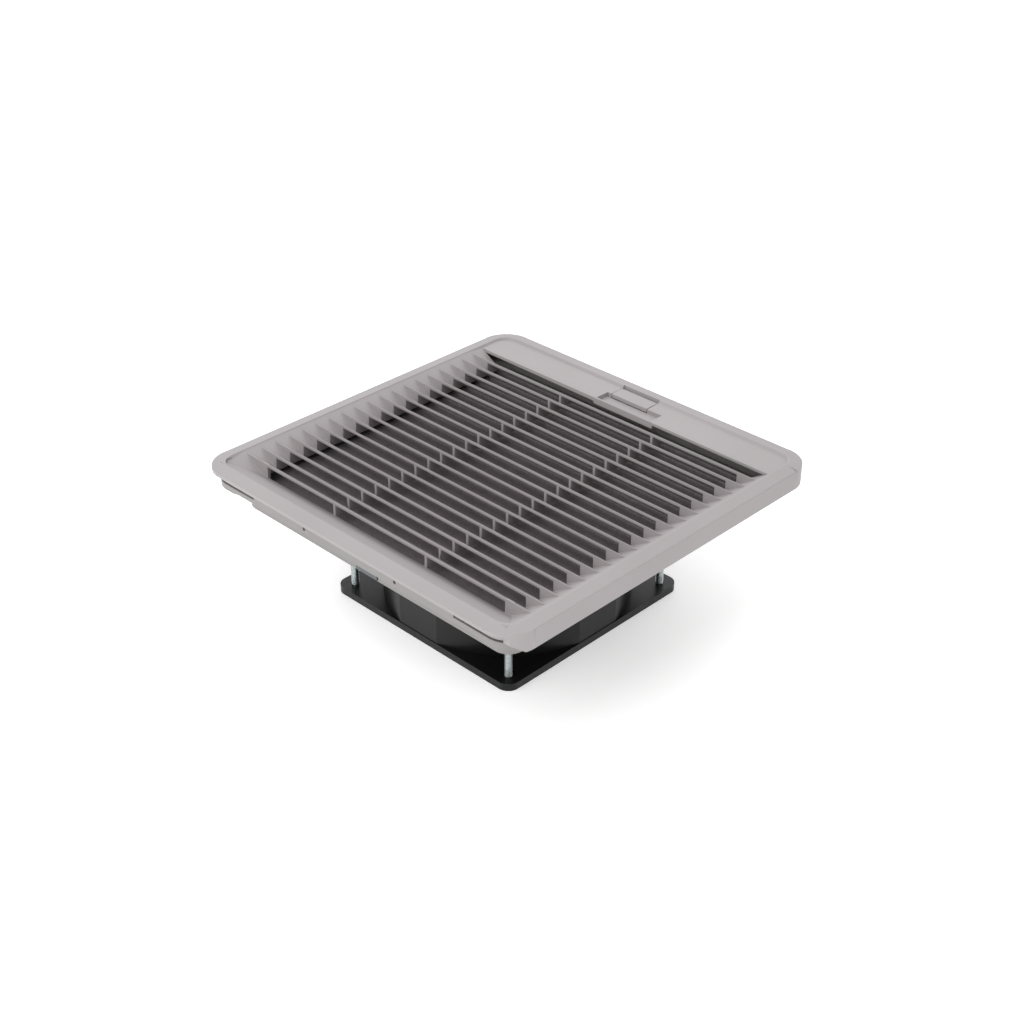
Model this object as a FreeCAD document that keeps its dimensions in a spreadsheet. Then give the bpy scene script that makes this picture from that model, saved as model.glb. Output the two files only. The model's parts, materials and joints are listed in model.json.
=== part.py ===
import FreeCAD, Part
import os
import re
import Sketcher

# Filter fan for a panel cut-out: a louvred cover over a filter mat, a mounting frame and an axial
# fan below it. +Z points out of the louvres. The origin is the middle of the fan's rear flange.
# +Y is the cover's latch side and -Y its hinge side. All sizes are in millimetres.

SIZES = [
    # axial fan
    ("fan_width", 119.0), ("fan_depth", 38.0), ("fan_corner", 6.0), ("fan_flange", 3.8),
    ("barrel_bulge", 1.0), ("bore_inset", 2.5), ("mouth_flare", 1.4), ("flat_inset", 0.3),
    ("screw_inset", 7.0), ("screw_radius", 1.95), ("screw_head", 4.0), ("head_height", 2.1),
    ("screw_clearance", 0.2), ("recess_half", 2.4), ("recess_width", 1.0), ("recess_depth", 1.1),
    ("screw_backset", 1.0),
    ("seat_radius", 31.0), ("seat_floor", 0.6), ("seat_wall", 2.4), ("seat_rim", 1.8),
    ("strut_width", 6.0), ("strut_height", 4.2), ("strut_sweep", 9.0), ("strut_count", 4),
    ("strut_root", 3.0), ("strut_bury", 1.5),
    # bearing tube, bearings and shaft
    ("tube_radius", 9.5), ("tube_drop", 9.4), ("tube_shoulder", 6.8), ("bearing_radius", 8.0),
    ("bearing_width", 5.0), ("bearing_low", 3.8), ("bearing_recess", 0.2), ("ring_wall", 1.5),
    ("ball_radius", 1.25), ("ball_count", 6), ("ball_gap", 0.08), ("ring_fit", 0.04),
    ("shaft_radius", 2.5), ("shaft_low", 2.2), ("clip_width", 0.6), ("clip_radius", 4.6),
    ("clip_grip", 2.05), ("clip_fit", 0.05), ("clip_drop", 0.1), ("cap_height", 0.9),
    ("spring_radius", 4.4), ("spring_wall", 0.35), ("spring_inner", 2.7), ("spring_fit", 0.05),
    # motor
    ("cup_radius", 30.3), ("cup_wall", 1.3), ("cup_low", 6.4), ("cup_drop", 3.6),
    ("cup_bend", 1.5), ("cup_blend", 1.0), ("boss_radius", 5.6), ("boss_rise", 3.6),
    ("core_low", 11.0), ("core_drop", 2.6), ("core_radius", 24.1), ("air_gap", 0.4),
    ("cage_height", 1.6), ("yoke_radius", 14.0), ("shoe_radius", 20.6),
    ("neck_width", 9.0), ("slot_mouth", 3.0), ("bobbin_wall", 0.8), ("bobbin_corner", 0.5),
    ("bobbin_fit", 0.1), ("bobbin_end", 1.0), ("coil_build", 3.8), ("coil_length", 4.0),
    ("coil_corner", 3.0), ("coil_inset", 0.2),
    # impeller
    ("hub_wall", 1.6), ("hub_low", 7.2), ("hub_drop", 0.4), ("hub_fit", 0.05), ("tip_gap", 0.9),
    ("blade_count", 7), ("blade_bury", 0.9), ("blade_inset", 6.0), ("blade_over", 2.0),
    ("root_chord", 22.0), ("root_low", 9.0), ("root_drop", 2.5),
    ("tip_chord", 37.0), ("tip_low", 11.0), ("tip_drop", 6.5),
    ("blade_camber", 46.0), ("blade_back", 33.0),
    # terminals
    ("terminal_x", -30.0), ("terminal_width", 17.0), ("terminal_height", 11.0),
    ("terminal_reach", 14.0), ("terminal_inset", 0.6), ("tab_inset", 3.0),
    ("tab_width", 2.8), ("tab_wall", 0.8), ("tab_height", 7.0), ("tab_spacing", 8.0),
    # mounting frame
    ("base_depth", 23.8), ("base_inset", 3.7), ("base_corner", 11.3), ("flange_wall", 2.4),
    ("rim_wall", 2.0), ("rim_rise", 6.7), ("duct_width", 176.0), ("duct_corner", 8.0),
    ("duct_wall", 2.0), ("duct_depth", 12.0), ("funnel_reach", 12.5), ("plate_wall", 2.5),
    ("grid_wall", 1.6), ("grid_height", 3.0), ("grid_count", 5),
    ("guard_wall", 1.6), ("guard_height", 2.0), ("guard_rings", 5), ("guard_hub", 14.0),
    ("insert_radius", 2.9), ("insert_height", 6.0), ("insert_boss", 4.9),
    ("mount_reach", 3.0), ("mount_hole", 2.2),
    ("relief_rise", 0.8), ("relief_inset", 16.3), ("relief_ramp", 4.0),
    ("drain_x", 30.0), ("drain_radius", 0.85), ("drain_rise", 3.4),
    # gasket, clips, mat
    ("gasket_reach", 7.5), ("gasket_gap", 2.5), ("gasket_height", 2.0), ("gasket_corner", 8.5),
    ("clip_spread", 2.2), ("clip_sheet", 0.6), ("clip_length", 14.0), ("clip_foot", 0.6),
    ("clip_knee", 2.4), ("clip_peak", 7.4), ("clip_end", 9.6),
    ("mat_clearance", 0.5), ("mat_height", 11.2),
    # cover
    ("cover_reach", 14.0), ("cover_corner", 15.0), ("skirt_gap", 0.3), ("skirt_wall", 2.2),
    ("edge_rise", 9.9), ("crest_rise", 1.3), ("crest_inset", 6.0), ("crest_land", 1.0),
    ("rim_drop", 1.2), ("rim_slope", 1.0), ("top_wall", 1.8),
    ("louvre_count", 19), ("first_inset", 21.65), ("last_inset", 25.6), ("louvre_drop", 7.15),
    ("blade_wall", 1.7), ("window_inset", 20.0), ("field_inset", 8.0), ("stop_length", 4.0),
    ("rib_spacing", 60.4), ("rib_wall", 1.5), ("slope_inset", 6.7),
    # hinge
    ("hinge_inset", 5.4), ("hinge_drop", 4.1), ("knuckle_radius", 2.0), ("pin_radius", 1.0),
    ("hinge_end", 36.0), ("knuckle_length", 10.8), ("hinge_boss", 8.0), ("side_gap", 0.3),
    ("notch_rise", 3.2), ("lip_clearance", 1.2), ("swing_gap", 0.6), ("skirt_end", 10.4),
    ("sweep_end", 4.5), ("pin_inset", 0.3), ("running_fit", 0.05),
    # latch
    ("latch_middle", 0.9), ("latch_half", 11.4), ("latch_inset", 9.0), ("latch_length", 7.5),
    ("latch_lip", 1.4), ("latch_wall", 1.6), ("latch_pivot", 1.9), ("latch_pin", 0.8),
    ("latch_gap", 0.4), ("well_left", 14.3), ("well_right", 21.1), ("finger_room", 8.0),
    ("well_depth", 2.2), ("well_floor", 1.4), ("ear_width", 3.4), ("ear_cover", 0.4),
    ("release_width", 1.6), ("release_length", 6.2),
    ("hook_half", 7.0), ("hook_setback", 4.4), ("hook_wall", 1.8), ("hook_reach", 7.3),
    ("hook_nose", 1.6), ("nose_low", 0.8), ("nose_high", 1.3), ("nose_top", 2.0),
    ("keeper_gap", 0.3), ("keeper_half", 9.0), ("keeper_wall", 1.3), ("keeper_drop", 1.0),
    ("keeper_leg", 2.0),
    # how far cutters reach past what they cut, and how deep joined parts sink in each other
    ("cutter_over", 1.0), ("joint_sink", 0.5),
]

# Sizes that follow from the ones above. The sheet works them out.
DERIVED = [
    ("barrel_radius", "fan_width / 2 + barrel_bulge"),
    ("barrel_bore", "fan_width / 2 - bore_inset"),
    ("screw_spacing", "fan_width - 2 * screw_inset"),
    ("tube_top", "fan_depth - tube_drop"),
    ("bearing_high", "tube_top - bearing_recess - bearing_width"),
    ("core_high", "tube_top - core_drop"),
    ("cup_top", "fan_depth - cup_drop"),
    ("boss_low", "cup_top - boss_rise"),
    ("hub_radius", "cup_radius + hub_wall"),
    ("hub_high", "cup_top - hub_drop"),
    ("tip_radius", "barrel_bore - tip_gap"),
    ("root_high", "hub_high - root_drop"),
    ("tip_high", "hub_high - tip_drop"),
    ("cover_width", "duct_width + 2 * cover_reach"),
    ("base_width", "cover_width - 2 * base_inset"),
    ("funnel_width", "fan_width + 2 * funnel_reach"),
    ("mount_spacing", "duct_width + 2 * mount_reach"),
    ("gasket_outer", "duct_width + 2 * gasket_reach"),
    ("gasket_inner", "duct_width + 2 * gasket_gap"),
    ("grid_pitch", "(duct_width - 2 * duct_wall) / (grid_count + 1)"),
    ("guard_pitch", "(barrel_bore - guard_hub) / guard_rings"),
    ("relief_half", "base_width / 2 - relief_inset"),
    ("louvre_width", "cover_width - 2 * field_inset"),
    ("window_width", "cover_width - 2 * window_inset"),
    ("slope_start", "cover_width / 2 - slope_inset"),
    ("first_lip", "cover_width / 2 - first_inset"),
    ("louvre_pitch", "(cover_width - first_inset - last_inset) / louvre_count"),
    ("hinge_start", "cover_width / 2 - hinge_end"),
    ("skirt_start", "cover_width / 2 - skirt_end"),
    ("sweep_start", "cover_width / 2 - sweep_end"),
    ("latch_axis", "cover_width / 2 - latch_inset"),
    ("latch_front", "latch_axis - latch_length"),
    ("well_front", "latch_front - finger_room"),
    ("hook_front", "latch_axis - hook_setback"),
]

# Levels and places that several pieces share, worked out from the sizes above.
FLANGE_BACK = "(fan_depth + base_depth)"
FLANGE_TOP = "(fan_depth + base_depth + flange_wall)"
RIM_TOP = "(fan_depth + base_depth + rim_rise)"
DUCT_LOW = "(fan_depth + base_depth - duct_depth)"
PLATE_TOP = "(fan_depth + plate_wall)"
EDGE = "(fan_depth + base_depth + edge_rise)"
CREST = "(fan_depth + base_depth + edge_rise + crest_rise)"
TOP = "(fan_depth + base_depth + edge_rise + crest_rise - rim_drop)"
UNDER = "(fan_depth + base_depth + edge_rise + crest_rise - rim_drop - top_wall)"
TROUGH = "(fan_depth + base_depth + edge_rise + crest_rise - rim_drop - louvre_drop)"
LAST_LIP = "(cover_width / 2 - last_inset)"
HINGE_Y = "(hinge_inset - cover_width / 2)"
HINGE_Z = "(fan_depth + base_depth + edge_rise + crest_rise - rim_drop - hinge_drop)"
LATCH_Z = "(fan_depth + base_depth + edge_rise + crest_rise - rim_drop - latch_pivot)"
NOTCH = "(fan_depth + base_depth + notch_rise)"
LIP_LOW = "(fan_depth + base_depth + notch_rise + lip_clearance)"
CORNERS = [(-1, -1), (1, -1), (1, 1), (-1, 1)]

doc = FreeCAD.newDocument("filter_fan")
sheet = doc.addObject("Spreadsheet::Sheet", "Sizes")
for row, (alias, value) in enumerate(SIZES, start=1):
    sheet.set("A%d" % row, alias)
    sheet.set("B%d" % row, str(value))
    sheet.setAlias("B%d" % row, alias)
doc.recompute()
for row, (alias, formula) in enumerate(DERIVED, start=len(SIZES) + 1):
    sheet.set("A%d" % row, alias)
    sheet.set("B%d" % row, "=" + formula)
    sheet.setAlias("B%d" % row, alias)
    doc.recompute()
ALIASES = {alias for alias, value in SIZES + DERIVED}
WORD = re.compile(r"[a-z][a-z_]*")


def tied(text):
    """The expression with each size's name pointed at its cell in the sheet."""
    return WORD.sub(lambda word: "Sizes." + word.group() if word.group() in ALIASES else word.group(),
                    text)


def number(text):
    """What an expression comes to with the sizes as they stand."""
    return float(sheet.evalExpression(tied(text)))


def bind(item, **formulas):
    """Tie properties of an object to expressions."""
    for name, text in formulas.items():
        item.setExpression(name, tied(text))
    return item


def move(item, x="0", y="0", z="0", turn=None):
    """Set where an object stands, with each coordinate tied to the sheet."""
    if turn:
        item.Placement = FreeCAD.Placement(FreeCAD.Vector(), turn)
    for axis, text in zip("xyz", (x, y, z)):
        item.setExpression("Placement.Base." + axis, tied(text))
    return item


ALONG = {
    "x": FreeCAD.Rotation(FreeCAD.Vector(0, 0, 1), FreeCAD.Vector(1, 0, 0)),
    "y": FreeCAD.Rotation(FreeCAD.Vector(0, 0, 1), FreeCAD.Vector(0, 1, 0)),
    "z": FreeCAD.Rotation(),
}


def block(name, x, y, z):
    """A box between two expressions on each axis."""
    item = doc.addObject("Part::Box", name)
    sides = ["(%s) - (%s)" % (high, low) for low, high in (x, y, z)]
    bind(item, Length=sides[0], Width=sides[1], Height=sides[2])
    return move(item, x[0], y[0], z[0])


def rod(name, radius, length, x="0", y="0", z="0", along="z"):
    """A cylinder that starts at a point and runs along an axis."""
    item = doc.addObject("Part::Cylinder", name)
    bind(item, Radius=radius, Height=length)
    return move(item, x, y, z, ALONG[along])


def cone(name, low_radius, high_radius, length, x="0", y="0", z="0"):
    """A cone or taper that stands at a point."""
    item = doc.addObject("Part::Cone", name)
    bind(item, Radius1=low_radius, Radius2=high_radius, Height=length)
    return move(item, x, y, z)


def fuse(name, *items):
    result = doc.addObject("Part::MultiFuse", name)
    result.Shapes = list(items)
    return result


def common(name, *items):
    result = doc.addObject("Part::MultiCommon", name)
    result.Shapes = list(items)
    return result


def group(name, *items):
    """Separate solids that share one node."""
    result = doc.addObject("Part::Compound", name)
    result.Links = list(items)
    return result


def cut(name, base, *tools):
    result = doc.addObject("Part::Cut", name)
    result.Base = base
    result.Tool = tools[0] if len(tools) == 1 else fuse(name + "_tools", *tools)
    return result


def new_sketch(body, role, offset="0"):
    """An empty sketch on one of the body's origin planes, moved along its normal."""
    sketch = body.newObject("Sketcher::SketchObject", body.Name + "_sketch")
    plane = [item for item in body.Origin.OriginFeatures if item.Role == role][0]
    sketch.AttachmentSupport = [(plane, "")]
    sketch.MapMode = "FlatFace"
    sketch.setExpression("AttachmentOffset.Base.z", tied(offset))
    return sketch


def fix_point(sketch, geometry, end, x, y):
    """Tie one end of a line or arc to a pair of expressions."""
    for kind, text in (("DistanceX", x), ("DistanceY", y)):
        index = sketch.addConstraint(Sketcher.Constraint(kind, -1, 1, geometry, end, number(text)))
        sketch.setExpression("Constraints[%d]" % index, tied(text))


def draw_outline(sketch, points):
    """A closed outline of straight lines through points given as expressions."""
    corners = [FreeCAD.Vector(number(x), number(y), 0) for x, y in points]
    count = len(points)
    for index in range(count):
        sketch.addGeometry(Part.LineSegment(corners[index], corners[(index + 1) % count]), False)
    for index in range(count):
        sketch.addConstraint(Sketcher.Constraint("Coincident", index, 2, (index + 1) % count, 1))
    for index, (x, y) in enumerate(points):
        fix_point(sketch, index, 1, x, y)


def draw_rounded(sketch, width, height, radius):
    """A rectangle round the sketch's origin with four equal round corners."""
    half_w, half_h, bend = number(width) / 2, number(height) / 2, number(radius)
    turn = 1.5707963267948966
    for side, (sign_x, sign_y) in enumerate([(1, -1), (1, 1), (-1, 1), (-1, -1)]):
        centre = FreeCAD.Vector(sign_x * (half_w - bend), sign_y * (half_h - bend), 0)
        ring = Part.Circle(centre, FreeCAD.Vector(0, 0, 1), bend)
        sketch.addGeometry(Part.ArcOfCircle(ring, (side - 1) * turn, side * turn), False)
    for side in range(4):
        start = sketch.getPoint(side, 2)
        end = sketch.getPoint((side + 1) % 4, 1)
        sketch.addGeometry(Part.LineSegment(start, end), False)
    for side in range(4):
        sketch.addConstraint(Sketcher.Constraint("Tangent", side, 2, 4 + side, 1))
        sketch.addConstraint(Sketcher.Constraint("Tangent", 4 + side, 2, (side + 1) % 4, 1))
    for side in range(1, 4):
        sketch.addConstraint(Sketcher.Constraint("Equal", 0, side))
    sketch.addConstraint(Sketcher.Constraint("Vertical", 4))
    sketch.addConstraint(Sketcher.Constraint("Horizontal", 5))
    index = sketch.addConstraint(Sketcher.Constraint("Radius", 0, bend))
    sketch.setExpression("Constraints[%d]" % index, tied(radius))
    inset_w = "(%s) / 2 - (%s)" % (width, radius)
    inset_h = "(%s) / 2 - (%s)" % (height, radius)
    fix_point(sketch, 1, 3, inset_w, inset_h)
    fix_point(sketch, 3, 3, "-(%s)" % inset_w, "-(%s)" % inset_h)


def pad(body, sketch, length, symmetric=False):
    feature = body.newObject("PartDesign::Pad", body.Name + "_pad")
    feature.Profile = sketch
    feature.SideType = "Symmetric" if symmetric else "One side"
    feature.setExpression("Length", tied(length))
    return feature


def prism(name, role, points, start, length, symmetric=False):
    """A straight-sided outline pushed out from a plane."""
    body = doc.addObject("PartDesign::Body", name)
    sketch = new_sketch(body, role, start)
    draw_outline(sketch, points)
    pad(body, sketch, length, symmetric)
    return body


def slab(name, width, height, radius, start, length, role="XY_Plane"):
    """A rounded rectangle pushed out from a plane."""
    body = doc.addObject("PartDesign::Body", name)
    sketch = new_sketch(body, role, start)
    draw_rounded(sketch, width, height, radius)
    pad(body, sketch, length)
    return body


def turned(name, points):
    """An outline of radius and height turned about the fan's axis."""
    body = doc.addObject("PartDesign::Body", name)
    sketch = new_sketch(body, "XZ_Plane")
    draw_outline(sketch, points)
    feature = body.newObject("PartDesign::Revolution", name + "_turn")
    feature.Profile = sketch
    feature.ReferenceAxis = (sketch, ["V_Axis"])
    feature.Angle = 360.0
    return body


def tapered(name, low, high, start, length):
    """A loft between two rounded rectangles, each given as width and corner radius."""
    body = doc.addObject("PartDesign::Body", name)
    lower = new_sketch(body, "XY_Plane", start)
    draw_rounded(lower, low[0], low[0], low[1])
    upper = new_sketch(body, "XY_Plane", "(%s) + (%s)" % (start, length))
    draw_rounded(upper, high[0], high[0], high[1])
    feature = body.newObject("PartDesign::AdditiveLoft", name + "_loft")
    feature.Profile = lower
    feature.Sections = [upper]
    feature.Ruled = True
    return body


def polar(body, feature, count):
    """Repeat a feature round the fan's axis."""
    pattern = body.newObject("PartDesign::PolarPattern", body.Name + "_pattern")
    pattern.Originals = [feature]
    axis = [item for item in body.Origin.OriginFeatures if item.Role == "Z_Axis"][0]
    pattern.Axis = (axis, [""])
    pattern.Angle = 360.0
    pattern.setExpression("Occurrences", tied(count))
    body.Tip = pattern
    return pattern


def node(item, label):
    """Give a finished piece the name that its file will have."""
    item.Label = label
    return item


# Fan frame: die-cast, with two square flanges, a clipped barrel and a motor seat on four struts.
square = slab("fan_square", "fan_width", "fan_width", "fan_corner", "0", "fan_depth")
waist = cut("fan_waist",
            block("waist_block", ("-fan_width", "fan_width"), ("-fan_width", "fan_width"),
                  ("fan_flange", "fan_depth - fan_flange")),
            common("barrel",
                   rod("barrel_round", "barrel_radius", "fan_depth"),
                   block("barrel_clip",
                         ("flat_inset - fan_width / 2", "fan_width / 2 - flat_inset"),
                         ("flat_inset - fan_width / 2", "fan_width / 2 - flat_inset"),
                         ("0", "fan_depth"))))
bore = rod("fan_bore", "barrel_bore", "fan_depth + 2 * cutter_over", z="-cutter_over")
mouth = cone("front_mouth", "barrel_bore", "barrel_bore + mouth_flare", "mouth_flare",
             z="fan_depth - mouth_flare")
tail = cone("rear_mouth", "barrel_bore + mouth_flare", "barrel_bore", "mouth_flare")
screw_holes = []
for index, (side_x, side_y) in enumerate(CORNERS):
    place_x = "%d * screw_spacing / 2" % side_x
    place_y = "%d * screw_spacing / 2" % side_y
    screw_holes.append(rod("fan_hole_%d" % index, "screw_radius + screw_clearance",
                           "fan_depth + 2 * cutter_over", place_x, place_y, "-cutter_over"))
    screw_holes.append(cone("fan_sink_%d" % index, "screw_head + screw_clearance",
                            "screw_radius + screw_clearance", "head_height", place_x, place_y))
shell = cut("fan_shell", square, waist, bore, mouth, tail, *screw_holes)

strut_body = doc.addObject("PartDesign::Body", "struts")
strut_sketch = new_sketch(strut_body, "XY_Plane", "seat_floor")
draw_outline(strut_sketch, [
    ("seat_radius - strut_root", "-strut_width / 2"),
    ("barrel_bore + strut_bury", "strut_sweep - strut_width / 2"),
    ("barrel_bore + strut_bury", "strut_sweep + strut_width / 2"),
    ("seat_radius - strut_root", "strut_width / 2")])
polar(strut_body, pad(strut_body, strut_sketch, "strut_height"), "strut_count")

seat = turned("motor_seat", [
    ("bearing_radius", "seat_floor"),
    ("seat_radius", "seat_floor"),
    ("seat_radius", "seat_floor + seat_wall + seat_rim"),
    ("seat_radius - seat_rim", "seat_floor + seat_wall + seat_rim"),
    ("seat_radius - seat_rim", "seat_floor + seat_wall"),
    ("tube_radius", "seat_floor + seat_wall"),
    ("tube_radius", "tube_top"),
    ("bearing_radius", "tube_top"),
    ("bearing_radius", "bearing_high"),
    ("tube_shoulder", "bearing_high"),
    ("tube_shoulder", "bearing_low + bearing_width"),
    ("bearing_radius", "bearing_low + bearing_width")])
node(fuse("frame_casting", shell, strut_body, seat), "fan_frame")

# Bearings: outer rings sit in the tube, inner rings turn with the shaft, balls run between.
BALL_TRACK = "((bearing_radius + shaft_radius) / 2)"


def bearing_ring(name, inner, outer, low):
    return cut(name,
               rod(name + "_blank", outer, "bearing_width", z=low),
               rod(name + "_bore", inner, "bearing_width", z=low),
               bearing_track(name + "_track", low))


def bearing_track(name, low):
    item = doc.addObject("Part::Torus", name)
    bind(item, Radius1=BALL_TRACK, Radius2="ball_radius + ball_gap")
    return move(item, z="(%s) + bearing_width / 2" % low)


LEVELS = {"rear": "bearing_low", "front": "bearing_high"}
OUTER_INNER_WALL = "(bearing_radius - ring_wall - ring_fit)"
INNER_OUTER_WALL = "(shaft_radius + ring_wall + ring_fit)"
for side, low in LEVELS.items():
    node(bearing_ring(side + "_outer", OUTER_INNER_WALL, "bearing_radius - ring_fit", low),
         side + "_bearing_outer_ring")
    node(bearing_ring(side + "_inner", "shaft_radius + ring_fit", INNER_OUTER_WALL, low),
         side + "_bearing_inner_ring")
    balls = doc.addObject("Part::Feature", side + "_balls")
    shapes = []
    for index in range(int(number("ball_count"))):
        centre = FreeCAD.Vector(number(BALL_TRACK), 0, number(low + " + bearing_width / 2"))
        ball = Part.makeSphere(number("ball_radius"), centre)
        ball.rotate(FreeCAD.Vector(), FreeCAD.Vector(0, 0, 1), 360.0 * index / number("ball_count"))
        shapes.append(ball)
    balls.Shape = Part.makeCompound(shapes)
    node(balls, side + "_bearing_balls")

# Shaft with its groove, the clip in the groove, the cap under it and the preload spring above.
CLIP_LOW = "(bearing_low - clip_drop - clip_width)"
GROOVE_LOW = "(bearing_low - clip_drop - clip_width - clip_fit)"
groove = cut("clip_groove",
             rod("groove_blank", "shaft_radius + cutter_over", "clip_width + 2 * clip_fit",
                 z=GROOVE_LOW),
             rod("groove_core", "clip_grip - clip_fit", "clip_width + 2 * clip_fit", z=GROOVE_LOW))
node(cut("shaft", rod("shaft_blank", "shaft_radius", "cup_top - shaft_low", z="shaft_low"), groove),
     "rotor_shaft")
node(cut("clip",
         rod("clip_blank", "clip_radius", "clip_width", z=CLIP_LOW),
         rod("clip_bore", "clip_grip", "clip_width", z=CLIP_LOW),
         block("clip_mouth", ("0", "clip_radius"), ("spring_wall - clip_grip", "clip_grip - spring_wall"),
               (CLIP_LOW, CLIP_LOW + " + clip_width"))), "shaft_clip")
node(rod("cap", "bearing_radius - ring_fit", "cap_height", z="seat_floor"), "bearing_cap")
SPRING_LOW = "(bearing_high + bearing_width)"
node(turned("spring", [
    ("spring_inner", SPRING_LOW + " + spring_fit"),
    ("spring_inner + spring_wall", SPRING_LOW + " + spring_fit"),
    ("spring_radius", "boss_low - spring_fit - spring_wall"),
    ("spring_radius", "boss_low - spring_fit"),
    ("spring_radius - spring_wall", "boss_low - spring_fit"),
    ("spring_inner", SPRING_LOW + " + spring_fit + 2 * spring_wall")]), "preload_spring")

# Rotor: a steel cup that carries the laminated ring, and the impeller pressed round the cup.
node(turned("cup", [
    ("cup_radius - cup_wall", "cup_low"),
    ("cup_radius", "cup_low"),
    ("cup_radius", "cup_top - cup_bend"),
    ("cup_radius - cup_bend", "cup_top"),
    ("shaft_radius + ring_fit", "cup_top"),
    ("shaft_radius + ring_fit", "boss_low"),
    ("boss_radius", "boss_low"),
    ("boss_radius", "cup_top - cup_wall - cup_blend"),
    ("cup_radius - cup_wall - cup_blend", "cup_top - cup_wall - cup_blend"),
    ("cup_radius - cup_wall", "cup_top - cup_wall - 2 * cup_blend")]), "rotor_cup")
RING_OUT = "(cup_radius - cup_wall - ring_fit)"
RING_IN = "(core_radius + air_gap)"
node(turned("laminations", [
    (RING_IN, "core_low"), (RING_OUT, "core_low"), (RING_OUT, "core_high"), (RING_IN, "core_high")]),
    "rotor_laminations")
cage = []
for side, low in (("low", "core_low - cage_height"), ("high", "core_high")):
    cage.append(cut("cage_" + side,
                    rod("cage_%s_blank" % side, RING_OUT, "cage_height", z=low),
                    rod("cage_%s_bore" % side, RING_IN, "cage_height", z=low)))
node(group("cage", *cage), "rotor_end_rings")

hub = turned("hub", [
    ("cup_radius + hub_fit", "hub_low"), ("hub_radius", "hub_low"),
    ("hub_radius", "hub_high"), ("cup_radius + hub_fit", "hub_high")])


def draw_blade_section(sketch, chord, low, high):
    """A cambered blade section: two arcs that meet at the leading and trailing edges."""
    ends = [("-(%s) / 2" % chord, low), ("(%s) / 2" % chord, high)]
    points = [FreeCAD.Vector(number(x), number(y), 0) for x, y in ends]
    middle = (points[0] + points[1]) * 0.5
    across = points[1] - points[0]
    normal = FreeCAD.Vector(-across.y, across.x, 0).normalize()
    for bend in ("blade_camber", "blade_back"):
        radius = number(bend)
        rise = radius - (radius ** 2 - (across.Length / 2) ** 2) ** 0.5
        sketch.addGeometry(Part.Arc(points[0], middle - normal * rise, points[1]), False)
    low_end = []
    high_end = []
    for index in (0, 1):
        starts_low = (sketch.getPoint(index, 1) - points[0]).Length < 1e-3
        low_end.append(1 if starts_low else 2)
        high_end.append(2 if starts_low else 1)
    sketch.addConstraint(Sketcher.Constraint("Coincident", 0, low_end[0], 1, low_end[1]))
    sketch.addConstraint(Sketcher.Constraint("Coincident", 0, high_end[0], 1, high_end[1]))
    for index, bend in enumerate(("blade_camber", "blade_back")):
        key = sketch.addConstraint(Sketcher.Constraint("Radius", index, number(bend)))
        sketch.setExpression("Constraints[%d]" % key, tied(bend))
    fix_point(sketch, 0, low_end[0], *ends[0])
    fix_point(sketch, 0, high_end[0], *ends[1])


blades = doc.addObject("PartDesign::Body", "blades")
root_sketch = new_sketch(blades, "YZ_Plane", "hub_radius - blade_inset")
draw_blade_section(root_sketch, "root_chord", "root_low", "root_high")
tip_sketch = new_sketch(blades, "YZ_Plane", "tip_radius + blade_over")
draw_blade_section(tip_sketch, "tip_chord", "tip_low", "tip_high")
blade = blades.newObject("PartDesign::AdditiveLoft", "blade_loft")
blade.Profile = root_sketch
blade.Sections = [tip_sketch]
polar(blades, blade, "blade_count")
swept = cut("swept_ring",
            rod("tip_circle", "tip_radius", "fan_depth"),
            rod("hub_circle", "hub_radius - blade_bury", "fan_depth"))
node(fuse("wheel", hub, common("trimmed_blades", blades, swept)), "impeller")

# Stator: laminations with four poles, a bobbin and a coil on each neck.
windows = cut("pole_windows",
              rod("window_outer", "shoe_radius", "core_high - core_low", z="core_low"),
              rod("window_inner", "yoke_radius", "core_high - core_low", z="core_low"),
              block("neck_x", ("-core_radius", "core_radius"), ("-neck_width / 2", "neck_width / 2"),
                    ("core_low", "core_high")),
              block("neck_y", ("-neck_width / 2", "neck_width / 2"), ("-core_radius", "core_radius"),
                    ("core_low", "core_high")))
mouths = []
for index in range(4):
    slot = block("slot_mouth_%d" % index,
                 ("shoe_radius - cutter_over", "core_radius + cutter_over"),
                 ("-slot_mouth / 2", "slot_mouth / 2"), ("core_low", "core_high"))
    ring = group("slot_turn_%d" % index, slot)
    ring.Placement = FreeCAD.Placement(FreeCAD.Vector(),
                                       FreeCAD.Rotation(FreeCAD.Vector(0, 0, 1), 45 + 90 * index))
    mouths.append(ring)
node(cut("stator", rod("stator_blank", "core_radius", "core_high - core_low", z="core_low"),
         rod("stator_bore", "tube_radius + ring_fit", "core_high - core_low", z="core_low"),
         windows, *mouths), "stator_laminations")

CORE_MIDDLE = "((core_low + core_high) / 2)"
CORE_TALL = "(core_high - core_low)"


def around_neck(name, width, height, corner, start, length):
    """A rounded block across the +X neck, centred on the core's height."""
    item = slab(name, width, height, corner, start, length, "YZ_Plane")
    return move(item, z=CORE_MIDDLE)


def four_times(name, item):
    """The piece and its three copies round the axis."""
    copies = []
    for index in range(4):
        copy = group("%s_%d" % (name, index), item)
        copy.Placement = FreeCAD.Placement(FreeCAD.Vector(),
                                           FreeCAD.Rotation(FreeCAD.Vector(0, 0, 1), 90 * index))
        copies.append(copy)
    return group(name, *copies)


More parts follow.
